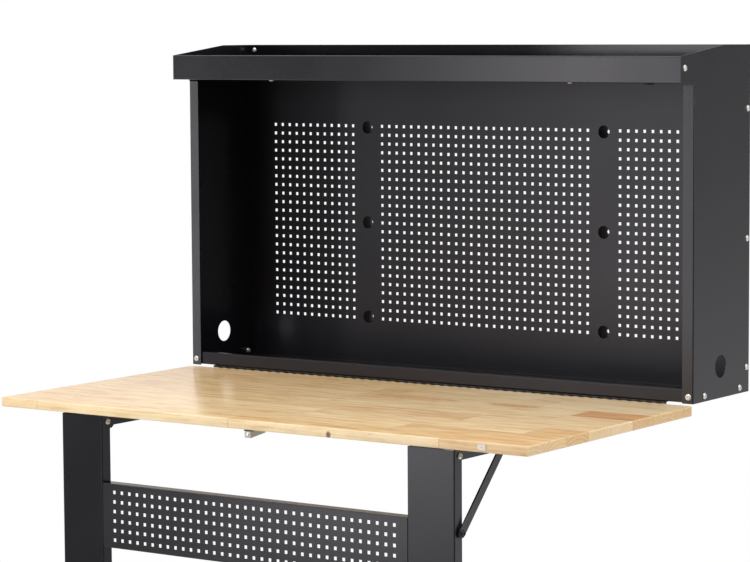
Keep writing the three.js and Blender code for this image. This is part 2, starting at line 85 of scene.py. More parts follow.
# Folded sheet and the small round on its edges
SHEET = 0.0012
LEG_SHEET = 0.0015
BEND = 0.0022
BEND_STEPS = 5
EDGE_BEVEL = 0.0004
FINE_BEVEL = 0.0003
TINY_BEVEL = 0.0002
FOOT_BEVEL = 0.001

# Cabinet
CABINET_DEPTH = 0.228
FLANGE_WIDTH = 0.0235
FLANGE_TOP = 0.5905
FLANGE_START = 0.004
# How far each front flange springs open, as a share of its width: left, then right
FLANGE_SPRING = {-1: 0.070, 1: 0.022}
EAR_BOTTOM = 0.595
EAR_TOP = 0.6455
SLOPE_END = 0.111
CABLE_HOLE = (-0.118, 0.051)
CABLE_RADIUS = 0.022
CABLE_STEPS = 48
FASCIA_FOOT = 0.025
FASCIA_HEM = 0.010
FASCIA_END = 0.032
FASCIA_END_RISE = 0.003
RAIL_HEIGHT = 0.0258
RAIL_RETURN = 0.010
FLOOR_TAB = 0.012
TRAY_LEVEL = 0.598
TRAY_FADE = 0.002

# Black paint: its hint of red and blue, and how much lighter it is where it is thin
PAINT_RED = 0.0004
PAINT_BLUE = 0.0018
THIN_PAINT_BLUE = 0.0024
THIN_PAINT = 1.6
PAINT_SHEEN = (0.97, 0.94, 1.0)

# Perforated panels
BACK_HOLE = 0.0062
BACK_PITCH = 0.0185
BACK_ROWS = 23
BACK_COLUMNS = 58
# Between these counts of columns from the middle there are only access holes
PLAIN_COLUMNS = (14, 17)
BACK_MIDDLE = 0.2905
WALL_HEM = 0.020
ACCESS_COLUMN = sum(PLAIN_COLUMNS) / 2 * BACK_PITCH
ACCESS_RISE = 0.2007
ACCESS_RADIUS = 0.013
ACCESS_PATCH = 0.016
ACCESS_STEPS = 8
LEG_HOLE = 0.0066
LEG_PITCH = 0.0184
LEG_ROWS = 6
LEG_COLUMNS = 36
LEG_EDGE = 0.016
LEG_FLANGE = 0.025
LEG_TOP_CHAMFER = 0.005

# Worktop
FRONT_CORNER = 0.0045
REAR_CORNER = 0.015
CORNER_STEPS = 8
EDGE_RADIUS = 0.0022
EDGE_STEPS = 4
LEAST_ARC = 1e-5

# Staves and blocks of the worktop
STAVE_WIDTH = 0.079
BLOCK_LENGTH = 0.36
BLOCK_SPREAD = 0.24
# The right-hand block of each stave, from the rear: start, redness, paleness, and paleness of its end grain.
# The full paleness of the two rear blocks is partly their tone and partly painted light on the rear rows,
# which lie in the cabinet's shade.
LAST_BLOCKS = (
    (0.300, 0.15, 1.00, 0.00),
    (0.360, 0.00, 1.00, 0.25),
    (0.470, 1.00, 0.40, 0.50),
    (0.460, 0.18, 0.60, 0.85),
    (0.330, 0.10, 0.55, 0.60),
    (0.515, 0.40, 0.05, 0.25),
    (0.280, 0.20, 0.25, 0.50),
    (0.420, 0.35, 0.10, 0.60),
)
# The end grain and the front edge, as depths below the surface over which each fades
EDGE_SKIN = (0.0025, 0.0035)

# Tones of the wood, from light to dark, as places on a ramp and colours
TAN_STOPS = (
    (0.05, (0.900, 0.660, 0.365)),
    (0.45, (0.800, 0.545, 0.268)),
    (0.90, (0.615, 0.365, 0.155)),
)
PALE_STOPS = (
    (0.05, (0.950, 0.765, 0.490)),
    (0.50, (0.905, 0.700, 0.430)),
    (0.95, (0.740, 0.510, 0.265)),
)
HEART_STOPS = (
    (0.05, (0.800, 0.480, 0.235)),
    (0.50, (0.700, 0.375, 0.165)),
    (0.95, (0.540, 0.265, 0.105)),
)
PORE_TONE = (0.40, 0.22, 0.10)
PORE_SHARE = 0.25
GLUE_TONE = (0.34, 0.18, 0.08)
GLUE_SHARE = 0.38
KNOT_RIM_TONE = (0.30, 0.15, 0.07)
KNOT_CORE_TONE = (0.21, 0.13, 0.085)

# Grain: how fine each kind is, along and across the staves
FIGURE_GRAIN = (12.0, 70.0)
FIBRE_GRAIN = (14.0, 420.0)
PORE_GRAIN = (60.0, 1500.0)
PORE_EDGE = (0.62, 0.74)
WARM_GRAIN = (3.5, 32.0)
WARM_EDGE = (0.45, 0.75)
WANDER_GRAIN = (1.6, 9.0)

# Where the dark glue lines fade in, as shares of a stave's width and of a block's length from its middle
SEAM = (0.4935, 0.4985)
BUTT = (0.4975, 0.4992)

# How much rings, fibre and figure darken the wood: on its faces, then on its ends
RING_SHADE = (0.20, 0.28)
FIBRE_SHADE = (0.22, 0.08)
FIGURE_SHADE = (1.9, 0.5)
BASE_SHADE = 0.31
HEART_SHARE = (1.0, 0.5)

# Paleness of the other blocks: luck, less towards the front, more to the right, tan at the rear left. Being
# paler towards the rear is painted light on the rear rows, which lie in the cabinet's shade.
PALE_LUCK = 0.32
PALE_BASE = 0.16
PALE_PER_ROW = -0.07
PALE_TO_RIGHT = 0.50
PALE_RISE = (-0.65, -0.20)
REAR_LEFT_TAN = 0.6
REAR_LEFT_ROWS = (1.2, 3.2)
REAR_LEFT_REACH = (-0.15, 0.25)
FRONT_EDGE_PALE = 0.65
PALE_EDGE = (0.1, 0.9)

# Redness of the other blocks: some by luck, and warm streaks that grow towards the front
RED_LUCK = 0.35
RED_EDGE = (0.70, 0.95)
WARM_BASE = 0.14
WARM_PER_ROW = 0.03

# Growth rings about a pith that lies below each block
RING_PITCH = 0.008
RING_RISE = (0.15, 0.95)
RING_FALL = (0.93, 1.0)
PITH_DEPTH = 0.05
PITH_SPREAD = 0.07
PITH_SWAY = 0.030
PITH_HEAVE = 0.012

# Pointed figures in the grain: the middle of each and half of its length
FLAMES = ((0.09, -0.405, 0.14), (0.31, -0.400, 0.075))
FLAME_WIDTH = 0.024
FLAME_RINGS = 22.0
FLAME_EDGE = (0.45, 1.05)

# A knot in the front edge
KNOT = (0.183, -0.0257)
KNOT_WIDTH = 0.0046
KNOT_HEIGHT = 0.0054
KNOT_DEPTH = 0.02
KNOT_RIM = (0.7, 1.5)
KNOT_CORE = (0.45, 0.95)

# Long hinge
KNUCKLE_COUNT = 101
KNUCKLE_GAP = 0.0004
KNUCKLE_STEPS = 18
BARREL_RADIUS = 0.00215
LEAF_SHEET = 0.0007
LEAF_RELIEF = 0.0006
LEAF_WIDTH = 0.018

# Screws and bolts
TURN_STEPS = 28
SCREW_HEAD = 0.0062
SMALL_HEAD = 0.005
SCREW_DOME = 0.0032
SMALL_DOME = 0.0024
LOW_DOME = 0.0021
SCREW_SOCKET = 0.0023
SCREW_SHANK = 0.003
SCREW_TIP = 0.003
TIP_TAPER = 0.8
SCREW_POINT = 0.001
POINT_TAPER = 0.6
HEAD_GAP = 0.0001
NUT_RADIUS = 0.0056
NUT_HEIGHT = 0.0045
NUT_CHAMFER = 0.0006
NUT_GAP = 0.0002
NUT_TAPER = 0.93
BOLT_NUT = 0.0045
BOLT_NUT_HEIGHT = 0.004
BOLT_CHAMFER = 0.0005
BOLT_DOME = 0.0039
STUD_BUTTON = 0.0015
BRACE_SPACER = (0.0061, 0.0080)

# A domed head, as shares of its radius, of its height and of its socket
DOME_STEPS = 5
DOME_FOOT = 0.97
DOME_EDGE = 0.12
DOME_RIM = 0.42
DOME_FALL = 0.86
DOME_DRAW = 0.25
SOCKET_FLARE = 1.12
SOCKET_CHAMFER = 0.15
SOCKET_DEPTH = 0.62
SOCKET_TAPER = 0.96

# Places of the cabinet's screws, for the right-hand side
SCREW_GRIP = 0.0028
CORNER_SCREW = (0.589, 0.0026)
REAR_SCREW_DEPTH = -0.0105
REAR_SCREW_HEIGHTS = (0.0387, 0.2901, 0.5419)
FLOOR_SCREW_DEPTHS = (-0.1834, -0.0388)
FLOOR_SCREW_HEIGHT = 0.0010
EAR_SCREW = (-0.267, 0.6233)
LIP_SCREW = (0.354, -0.268)
TRAY_SCREW = (0.5827, -0.022, 0.654)
TRAY_SCREW_GRIP = 0.0014

# The strike plate's screw, with its heights below the plate's face
STRIKE_SCREW = 0.00155
STRIKE_SOCKET = 0.0007
STRIKE_FACE = -0.00015
STRIKE_RIM = -0.0003
STRIKE_SOCKET_FLOOR = -0.0005
STRIKE_HEEL = -0.0008
STRIKE_END = -0.0009
STRIKE_CHAMFER = 0.9

# Studio surroundings: their light on the bench, and three ways in which their mirror image is darker.
# Each has a direction, where its shade starts and where it is full, and its share.
ROOM_LIGHT = 0.36
BEHIND_CAMERA = ((0.643, -0.766), 0.40, 0.80, 0.90)
FRONT_LEFT = ((-0.574, -0.819), 0.925, 0.975, 0.84)
BEHIND_BENCH = ((0.461, 0.887), 0.70, 0.92, 0.69)
# The shade behind the bench fades out downwards, between these heights
BENCH_SHADE_FOOT = (-0.22, -0.02)

# Softboxes: name, place, target, size and watts
SOFTBOXES = (
    ("front_softbox", (-0.92, -2.6, 0.27), (-0.7, 0.0, 0.20), (0.75, 1.72), 13.4),
    ("left_softbox", (-3.22, -2.6, 0.30), (-0.6, 0.0, 0.25), (0.45, 1.8), 9.6),
    ("right_softbox", (3.2, -0.5, 0.9), (0.5, -0.4, 0.0), (1.0, 1.4), 29),
    ("top_softbox", (0.4, -2.4, 5.2), (0.1, -0.45, 0.0), (3.6, 2.4), 263),
)

# Floor
FLOOR_RADIUS = 2.4
FLOOR_STEPS = 96
FLOOR_MIDDLE = -0.45
FLOOR_DROP = 0.0005
FLOOR_TONE = (0.86, 0.86, 0.85)
FLOOR_ROUGHNESS = 0.8
FLOOR_FADE = (0.45 * FLOOR_RADIUS, 0.98 * FLOOR_RADIUS)


class Wire:
    """An output in a material. Arithmetic on it adds Math nodes."""

    def __init__(self, finish, socket):
        self.finish = finish
        self.socket = socket

    def math(self, operation, *others):
        values = dict(enumerate((self, *others)))
        return self.finish.node("ShaderNodeMath", {"operation": operation}, values)

    def __add__(self, other):
        return self.math("ADD", other)

    def __radd__(self, other):
        return self.math("ADD", other)

    def __sub__(self, other):
        return self.math("SUBTRACT", other)

    def __rsub__(self, other):
        return self.finish.node("ShaderNodeMath", {"operation": "SUBTRACT"}, {0: other, 1: self})

    def __mul__(self, other):
        return self.math("MULTIPLY", other)

    def __rmul__(self, other):
        return self.math("MULTIPLY", other)

    def __truediv__(self, other):
        return self.math("DIVIDE", other)

    def floor(self):
        return self.math("FLOOR")

    def fraction(self):
        return self.math("FRACT")

    def sine(self):
        return self.math("SINE")

    def root(self):
        return self.math("SQRT")

    def distance(self):
        return self.math("ABSOLUTE")

    def larger(self, other):
        return self.math("MAXIMUM", other)

    def step_up(self, low, high):
        """0 below low, 1 above high, and smooth between them."""
        settings = {"interpolation_type": "SMOOTHSTEP"}
        sockets = {"Value": self, "From Min": low, "From Max": high}
        return self.finish.node("ShaderNodeMapRange", settings, sockets)

    def step_down(self, low, high):
        """1 below low, 0 above high, and smooth between them."""
        return 1.0 - self.step_up(low, high)


class Finish:
    """The nodes of one material, or of the studio's surroundings."""

    def __init__(self, owner):
        self.owner = owner
        owner.use_nodes = True
        self.tree = owner.node_tree
        self.tree.nodes.clear()

    def node(self, kind, settings=None, sockets=None, output=0):
        """Adds a node: its settings first, then the values or links of its sockets. Returns an output."""
        made = self.tree.nodes.new(kind)
        for name, value in (settings or {}).items():
            if name == "stops":
                self.set_stops(made.color_ramp.elements, value)
            else:
                setattr(made, name, value)
        for name, value in (sockets or {}).items():
            if isinstance(value, Wire):
                self.tree.links.new(value.socket, made.inputs[name])
            else:
                made.inputs[name].default_value = value
        return Wire(self, made.outputs[output]) if made.outputs else None

    def set_stops(self, elements, stops):
        while len(elements) < len(stops):
            elements.new(1.0)
        for element, (place, tone) in zip(elements, stops):
            element.position = place
            element.color = colour(*tone)

    def place(self):
        """The point on the piece, in the part's own frame, in metres."""
        return self.node("ShaderNodeTexCoord", output="Object")

    def axes(self, vector):
        split = self.node("ShaderNodeSeparateXYZ", sockets={0: vector}).socket.node
        return [Wire(self, socket) for socket in split.outputs]

    def vector(self, x, y, z):
        return self.node("ShaderNodeCombineXYZ", sockets={0: x, 1: y, 2: z})

    def stretched(self, vector, scale):
        return self.node("ShaderNodeVectorMath", {"operation": "MULTIPLY"}, {0: vector, 1: scale})

    def noise(self, vector, scale, detail=2.0, roughness=0.5):
        sockets = {"Vector": vector, "Scale": scale, "Detail": detail, "Roughness": roughness}
        return self.node("ShaderNodeTexNoise", sockets=sockets)

    def luck(self, vector):
        """A random value that is the same all over one block."""
        return self.node("ShaderNodeTexWhiteNoise", {"noise_dimensions": "3D"}, {"Vector": vector})

    def ramp(self, share, stops):
        return self.node("ShaderNodeValToRGB", {"stops": stops}, {0: share})

    def mixed(self, share, first, second):
        sockets = {"Factor": share, 6: first, 7: second}
        return self.node("ShaderNodeMix", {"data_type": "RGBA"}, sockets, output=2)

    def bump(self, height, distance, strength):
        sockets = {"Height": height, "Distance": distance, "Strength": strength}
        return self.node("ShaderNodeBump", sockets=sockets)

    def finished(self, kind, shader):
        self.node(kind, sockets={"Surface": shader})
        return self.owner

    def surface(self, **sockets):
        names = {name.replace("_", " "): value for name, value in sockets.items()}
        shader = self.node("ShaderNodeBsdfPrincipled", sockets=names)
        return self.finished("ShaderNodeOutputMaterial", shader)


def new_finish(name):
    return Finish(bpy.data.materials.new(name))


def colour(red, green, blue):
    return (red, green, blue, 1.0)


def reach_of(first, second):
    """The long side of a right-angled triangle with these two sides."""
    return (first * first + second * second).root()


def violet_black(level, blue):
    """Black paint with a hint of red and a little more of blue."""
    return colour(level + PAINT_RED, level, level + blue)


def powder_coat(name, black=0.0036, gloss=0.28, sheen=0.62, tray_polish=0.0):
    """Satin black powder coat: a fine pebble, faint long waves and slightly uneven gloss.

    Above the tray's floor it can be more polished.
    """
    coat = new_finish(name)
    place = coat.place()
    pebble = coat.noise(place, scale=2600.0)
    waves = coat.noise(place, scale=260.0, detail=1.0)
    patches = coat.noise(place, scale=7.0, detail=3.0)
    height = pebble * 0.35 + waves * 0.65
    in_tray = coat.axes(place)[2].step_up(TRAY_LEVEL - TRAY_FADE, TRAY_LEVEL)
    thick = violet_black(black, PAINT_BLUE)
    thin = violet_black(black * THIN_PAINT, THIN_PAINT_BLUE)
    return coat.surface(
        Base_Color=coat.mixed(patches, thick, thin),
        Roughness=gloss - 0.05 + 0.10 * patches - tray_polish * in_tray,
        Specular_IOR_Level=sheen,
        Specular_Tint=colour(*PAINT_SHEEN),
        Normal=coat.bump(height, distance=0.00006, strength=0.30),
    )


def zinc_plate(name, dark, light, gloss):
    """Zinc plating with a faint mottled spangle."""
    zinc = new_finish(name)
    place = zinc.place()
    spangle = zinc.noise(place, scale=900.0, detail=3.0)
    smears = zinc.noise(zinc.stretched(place, (120.0, 120.0, 700.0)), scale=1.0)
    return zinc.surface(
        Base_Color=zinc.mixed(spangle, colour(*dark), colour(*light)),
        Metallic=1.0,
        Roughness=gloss + 0.16 * smears,
        Normal=zinc.bump(spangle, distance=0.00005, strength=0.3),
    )


def blackened_steel(name):
    """Blackened hinge steel, oily and a little worn."""
    steel = new_finish(name)
    wear = steel.noise(steel.place(), scale=180.0, detail=4.0)
    return steel.surface(
        Base_Color=steel.mixed(wear, colour(0.008, 0.008, 0.008), colour(0.026, 0.025, 0.024)),
        Metallic=0.35,
        Roughness=0.30 + 0.20 * wear,
        Normal=steel.bump(wear, distance=0.00004, strength=0.4),
    )


def moulded_plastic(name):
    """Matt black moulded plastic with a spark-eroded grain."""
    plastic = new_finish(name)
    grain = plastic.noise(plastic.place(), scale=1500.0)
    return plastic.surface(
        Base_Color=plastic.mixed(grain, colour(0.010, 0.010, 0.010), colour(0.020, 0.020, 0.021)),
        Roughness=0.5 + 0.15 * grain,
        Normal=plastic.bump(grain, distance=0.00008, strength=0.5),
    )


class Staves:
    """Where a point lies in the glued worktop: its stave, its block, and what luck gave that block."""

    def __init__(self, wood):
        low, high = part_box("worktop")
        self.wood = wood
        self.front = low.y
        self.x, self.y, self.z = wood.axes(wood.place())
        self.across = (high.y - self.y) / STAVE_WIDTH
        self.row = self.across.floor()
        row_luck = wood.luck(wood.vector(self.row, 0.0, 3.0))
        here = [(self.row - i).distance().step_down(0.4, 0.6) for i in range(len(LAST_BLOCKS))]
        start, self.last_redness, self.last_paleness, self.end_paleness = (
            sum(share * value for share, value in zip(here, values)) for values in zip(*LAST_BLOCKS))
        self.along = (self.x - start) / (BLOCK_LENGTH + BLOCK_SPREAD * row_luck)
        block = self.along.floor()
        self.last = block.step_up(-0.6, -0.4)
        self.luck = wood.luck(wood.vector(self.row, block, 0.0))
        self.second_luck = wood.luck(wood.vector(block, self.row, 5.0))
        shallow, deep = EDGE_SKIN
        self.end = self.x.distance().step_up(high.x - deep, high.x - shallow)
        self.front_edge = self.y.step_down(low.y + shallow, low.y + deep)

    def by_face(self, face, end):
        """One value on the faces and edges, and another on the two ends."""
        return face + (end - face) * self.end

    def streaks(self, along, across, shift_x=0.0, shift_z=0.0, detail=2.0, roughness=0.5):
        """Noise that is drawn out along the staves. The shifts move it from block to block."""
        place = self.wood.vector(self.x * along + shift_x, self.y * across, self.z * across + shift_z)
        return self.wood.noise(place, 1.0, detail, roughness)

    def rings(self):
        """Growth rings, which run along X, so that faces, edges and ends agree."""
        wander = self.streaks(*WANDER_GRAIN, shift_z=self.luck * 40.0, detail=3.0) - 0.5
        off_middle = self.across.fraction() - 0.5 + (self.second_luck - 0.5) * 1.5
        pith_y = off_middle * STAVE_WIDTH + wander * PITH_SWAY
        pith_z = self.z + PITH_DEPTH + self.luck * PITH_SPREAD + wander * PITH_HEAVE
        ring = (reach_of(pith_y, pith_z) / RING_PITCH + self.luck * 9.0).fraction()
        return ring.step_up(*RING_RISE) * ring.step_down(*RING_FALL)

    def paleness(self):
        """How far a block goes from the tan tones to the pale ones."""
        rear_left = self.row.step_down(*REAR_LEFT_ROWS) * self.x.step_down(*REAR_LEFT_REACH)
        # The tone comes by luck. The paleness that grows row by row towards the rear is painted light on the
        # rear rows, in the cabinet's shade.
        by_chance = PALE_LUCK * self.luck + PALE_BASE + PALE_PER_ROW * self.row
        by_chance = by_chance + PALE_TO_RIGHT * self.x.step_up(*PALE_RISE) - REAR_LEFT_TAN * rear_left
        chosen = self.by_face(self.last_paleness, self.end_paleness)
        return self.last * chosen + (1.0 - self.last) * by_chance + FRONT_EDGE_PALE * self.front_edge

    def redness(self, figure):
        """How far a block goes to the heartwood's tones, which the pointed figures have too."""
        warmth = self.streaks(*WARM_GRAIN, shift_x=self.second_luck * 30.0).step_up(*WARM_EDGE)
        red_blocks = (1.0 - self.last) * self.second_luck.step_up(*RED_EDGE) * RED_LUCK
        redness = red_blocks + warmth * (WARM_BASE + WARM_PER_ROW * self.row)
        redness = redness.larger(self.last * self.last_redness)
        for middle_x, middle_y, length in FLAMES:
            reach = reach_of((self.x - middle_x) / length, (self.y - middle_y) / FLAME_WIDTH)
            reach = reach + 0.5 * (figure - 0.5)
            flame = reach.step_down(*FLAME_EDGE) * (0.75 + 0.30 * (reach * FLAME_RINGS).sine())
            redness = redness.larger(flame)
        return redness

    def glue_lines(self):
        """Dark lines between the staves, and between the blocks of a stave."""
        seam = (self.across.fraction() - 0.5).distance().step_up(*SEAM)
        butt = (self.along.fraction() - 0.5).distance().step_up(*BUTT)
        return seam.larger(butt)

    def knot(self, fibre):
        """The rim and the core of a small dark knot in the front edge."""
        reach = reach_of((self.x - KNOT[0]) / KNOT_WIDTH, (self.z - KNOT[1]) / KNOT_HEIGHT)
        reach = reach + 0.25 * (fibre - 0.5)
        in_front = self.y.step_down(self.front + KNOT_DEPTH / 2, self.front + KNOT_DEPTH)
        return reach.step_down(*KNOT_RIM) * in_front, reach.step_down(*KNOT_CORE) * in_front


def lacquered_staves(name):
    """Glued hardwood staves under clear lacquer, with rings, figure, fine fibre and short dark pores."""
    wood = new_finish(name)
    staves = Staves(wood)
    luck, second_luck = staves.luck, staves.second_luck
    figure = staves.streaks(*FIGURE_GRAIN, luck * 20.0, second_luck * 9.0, detail=4.0, roughness=0.6)
    fibre = staves.streaks(*FIBRE_GRAIN, luck * 30.0, detail=3.0)
    pores = staves.streaks(*PORE_GRAIN, detail=1.0).step_up(*PORE_EDGE)
    shade = staves.by_face(*RING_SHADE) * staves.rings() + staves.by_face(*FIBRE_SHADE) * fibre
    shade = shade + staves.by_face(*FIGURE_SHADE) * (figure - 0.5) + BASE_SHADE
    tan, pale, heart = (wood.ramp(shade, stops) for stops in (TAN_STOPS, PALE_STOPS, HEART_STOPS))
    tone = wood.mixed(staves.paleness().step_up(*PALE_EDGE), tan, pale)
    tone = wood.mixed(staves.redness(figure) * staves.by_face(*HEART_SHARE), tone, heart)
    tone = wood.mixed(pores * PORE_SHARE, tone, colour(*PORE_TONE))
    tone = wood.mixed(staves.glue_lines() * GLUE_SHARE, tone, colour(*GLUE_TONE))
    knot_rim, knot_core = staves.knot(fibre)
    tone = wood.mixed(knot_rim, tone, colour(*KNOT_RIM_TONE))
    tone = wood.mixed(knot_core, tone, colour(*KNOT_CORE_TONE))
    return wood.surface(
        Base_Color=tone,
        Roughness=0.21 + 0.06 * fibre,
        Specular_IOR_Level=0.24,
        Normal=wood.bump(fibre - pores * 0.6, distance=0.00005, strength=0.12),
    )


BLACK = powder_coat("satin_black_powder_coat")
DULL_BLACK = powder_coat("dull_black_powder_coat", gloss=0.34, sheen=0.44, tray_polish=0.20)
LEG_BLACK = powder_coat("leg_black_powder_coat", gloss=0.30, sheen=0.54)
# A copy of the leg paint with less sheen, so it reflects less: painted shade on the left leg, its bracket
# and its brace keeper.
SHADED_BLACK = powder_coat("shaded_black_powder_coat", gloss=0.30, sheen=0.30)
# The rails' black is many times lighter than the other paint: painted light inside the rails, seen through
# the access holes.
LIGHTENED_RAIL_BLACK = powder_coat("lightened_rail_black_powder_coat", black=0.09, gloss=0.36, sheen=0.50)
ZINC = zinc_plate("bright_zinc_plate", (0.62, 0.61, 0.58), (0.82, 0.81, 0.78), 0.46)
DULL_ZINC = zinc_plate("dull_zinc_plate", (0.36, 0.33, 0.29), (0.50, 0.465, 0.42), 0.40)
PALE_ZINC = zinc_plate("satin_zinc_plate", (0.57, 0.535, 0.48), (0.72, 0.68, 0.62), 0.42)
# Zinc made very dark and brown: painted shade under the cabinet's rail, with a painted reflection of the
# wood.
SHADED_BROWN_ZINC = zinc_plate("shaded_brown_zinc_plate", (0.020, 0.014, 0.010), (0.052, 0.038, 0.028), 0.36)
DARK_NICKEL = zinc_plate("black_nickel_plate", (0.030, 0.030, 0.031), (0.060, 0.060, 0.062), 0.40)
STEEL = blackened_steel("blackened_hinge_steel")
PLASTIC = moulded_plastic("black_moulded_plastic")
WOOD = lacquered_staves("lacquered_hardwood_staves")


def dress(names, finish, bevel=EDGE_BEVEL):
    """Gives solids their finish, and a small round along their edges that catches the light."""
    for name in names:
        solid = nodes[name]
        solid.data.materials.clear()
        solid.data.materials.append(finish)
        weld = solid.modifiers.new("weld", "WELD")
        weld.merge_threshold = SAME_CORNER
        flat = solid.modifiers.new("flat", "DECIMATE")
        flat.decimate_type = "DISSOLVE"
        flat.angle_limit = math.radians(FLAT_ANGLE)
        rounded = solid.modifiers.new("rounded", "BEVEL")
        rounded.width = bevel
        rounded.segments = BEVEL_STEPS
        rounded.limit_method = "ANGLE"
        rounded.angle_limit = math.radians(BEVEL_ANGLE)


def add_piece(name, mesh, body, finish, replaced=()):
    """A new piece that rides on a body, in place of the solids that it replaces."""
    mesh.materials.append(finish)
    piece = bpy.data.objects.new(name, mesh)
    bpy.context.scene.collection.objects.link(piece)
    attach(piece, body)
    if replaced:
        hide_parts(*replaced)


def finished_mesh(name, work, smooth_angle=None):
    """Closes a bmesh into a mesh with outward faces, smooth below the given angle."""
    bmesh.ops.remove_doubles(work, verts=work.verts, dist=SAME_POINT)
    bmesh.ops.recalc_face_normals(work, faces=work.faces)
    if smooth_angle is not None:
        for face in work.faces:
            face.smooth = True
        for edge in work.edges:
            edge.smooth = edge.is_manifold and edge.calc_face_angle(math.pi) < math.radians(smooth_angle)
    mesh = bpy.data.meshes.new(name)
    work.to_mesh(mesh)
    work.free()
    return mesh


def add_box(work, low, high):
    corners = [
        work.verts.new((x, y, z))
        for x in (low[0], high[0])
        for y in (low[1], high[1])
        for z in (low[2], high[2])
    ]
    for a, b, c, d in [(0, 1, 3, 2), (4, 6, 7, 5), (0, 4, 5, 1), (2, 3, 7, 6), (0, 2, 6, 4), (1, 5, 7, 3)]:
        work.faces.new((corners[a], corners[b], corners[c], corners[d]))


def add_band(work, lower, upper):
    """Faces between two closed loops with as many points each."""
    for i in range(len(lower)):
        j = (i + 1) % len(lower)
        work.faces.new((lower[i], lower[j], upper[j], upper[i]))


def end_walls(low, high):
    """The sheets at the left and right ends of a box, as pairs of X."""
    return [(low.x, low.x + SHEET), (high.x - SHEET, high.x)]


def bend_line(corners, sheet, radius):
    """Outer and inner points of a sheet that is folded at its corners, with its outside on the right."""
    corners = [Vector(corner) for corner in corners]
    ways = [(b - a).normalized() for a, b in zip(corners, corners[1:])]
    faces = [Vector((way.y, -way.x)) for way in ways]
    outer = [corners[0]]
    inner = [corners[0] - faces[0] * sheet]
    for corner, way, face, next_face in zip(corners[1:], ways, faces, faces[1:]):
        turn = face.angle_signed(next_face)
        centre = corner - way * radius * math.tan(abs(turn) / 2) - face * radius
        for i in range(BEND_STEPS + 1):
            out = face.copy()
            out.rotate(Matrix.Rotation(-turn * i / BEND_STEPS, 2))
            outer.append(centre + out * radius)
            inner.append(centre + out * (radius - sheet))
    outer.append(corners[-1])
    inner.append(corners[-1] - faces[-1] * sheet)
    return outer, inner


def add_folded(work, corners, reach, place, sheet=SHEET, radius=BEND):
    """A folded sheet, carried between two ends.

    An end is a distance, or a function of the point that it trims.
    """
    lines = bend_line(corners, sheet, radius)
    ends = []
    for end in reach:
        trim = end if callable(end) else (lambda point, end=end: end)
        ends.append([[work.verts.new(place(*point, trim(point))) for point in line] for line in lines])
    (outer0, inner0), (outer1, inner1) = ends
    for i in range(len(outer0) - 1):
        j = i + 1
        work.faces.new((outer0[i], outer0[j], outer1[j], outer1[i]))
        work.faces.new((inner0[i], inner1[i], inner1[j], inner0[j]))
        work.faces.new((outer0[i], inner0[i], inner0[j], outer0[j]))
        work.faces.new((outer1[i], outer1[j], inner1[j], inner1[i]))
    for i in (0, -1):
        work.faces.new((outer0[i], outer1[i], inner1[i], inner0[i]))


def along_x(y, z, x):
    return (x, y, z)


def along_z(x, y, z):
    return (x, y, z)


def on_grid(place):
    return round(place, GRID_DIGITS)


def cut_lines(low, high, centres, reach, extra):
    """Places where a grid is cut: the edges, both sides of every hole, and some more lines."""
    places = {on_grid(low), on_grid(high)}
    for centre in centres:
        places.update((on_grid(centre - reach), on_grid(centre + reach)))
    places.update(on_grid(place) for place in extra)
    return sorted(places)


def add_perforated(work, across, upward, front, columns, rows, side, access=()):
    """A flat sheet with a square hole at every column and row, and a round hole at every access place."""
    spread = [ACCESS_PATCH * (2 * i / ACCESS_STEPS - 1) for i in range(ACCESS_STEPS + 1)]
    reach = side / 2
    xs = cut_lines(*across, columns, reach, [x + s for x, _ in access for s in spread])
    zs = cut_lines(*upward, rows, reach, [z + s for _, z in access for s in spread])
    points = {}
    faces = []

    def point(x, z):
        key = (on_grid(x), on_grid(z))
        if key not in points:
            points[key] = work.verts.new((x, front, z))
        return points[key]

    def is_open(x, z):
        if any(abs(x - a) < ACCESS_PATCH and abs(z - b) < ACCESS_PATCH for a, b in access):
            return True
        return min(abs(x - c) for c in columns) < reach and min(abs(z - r) for r in rows) < reach

    for x0, x1 in zip(xs, xs[1:]):
        for z0, z1 in zip(zs, zs[1:]):
            if not is_open((x0 + x1) / 2, (z0 + z1) / 2):
                faces.append(work.faces.new((point(x0, z0), point(x1, z0), point(x1, z1), point(x0, z1))))

    for a, b in access:
        near_x = [x for x in xs if abs(x - a) <= ACCESS_PATCH + SAME_CORNER]
        near_z = [z for z in zs if abs(z - b) <= ACCESS_PATCH + SAME_CORNER]
        loop = [(x, near_z[0]) for x in near_x] + [(near_x[-1], z) for z in near_z[1:]]
        loop += [(x, near_z[-1]) for x in reversed(near_x[:-1])]
        loop += [(near_x[0], z) for z in reversed(near_z[1:-1])]
        rim = []
        for x, z in loop:
            away = Vector((x - a, z - b)).normalized() * ACCESS_RADIUS
            rim.append(work.verts.new((a + away.x, front, b + away.y)))
        outer = [point(x, z) for x, z in loop]
        for i in range(len(loop)):
            j = (i + 1) % len(loop)
            faces.append(work.faces.new((outer[i], outer[j], rim[j], rim[i])))

    thicken(work, faces, (0.0, SHEET, 0.0))


def thicken(work, faces, shift):
    """Gives a flat sheet its thickness."""
    copied = bmesh.ops.extrude_face_region(work, geom=faces, use_keep_orig=True)
    moved = [element for element in copied["geom"] if isinstance(element, bmesh.types.BMVert)]
    bmesh.ops.translate(work, verts=moved, vec=shift)


def centred(count, pitch, middle=0.0):
    return [middle + (i - (count - 1) / 2) * pitch for i in range(count)]


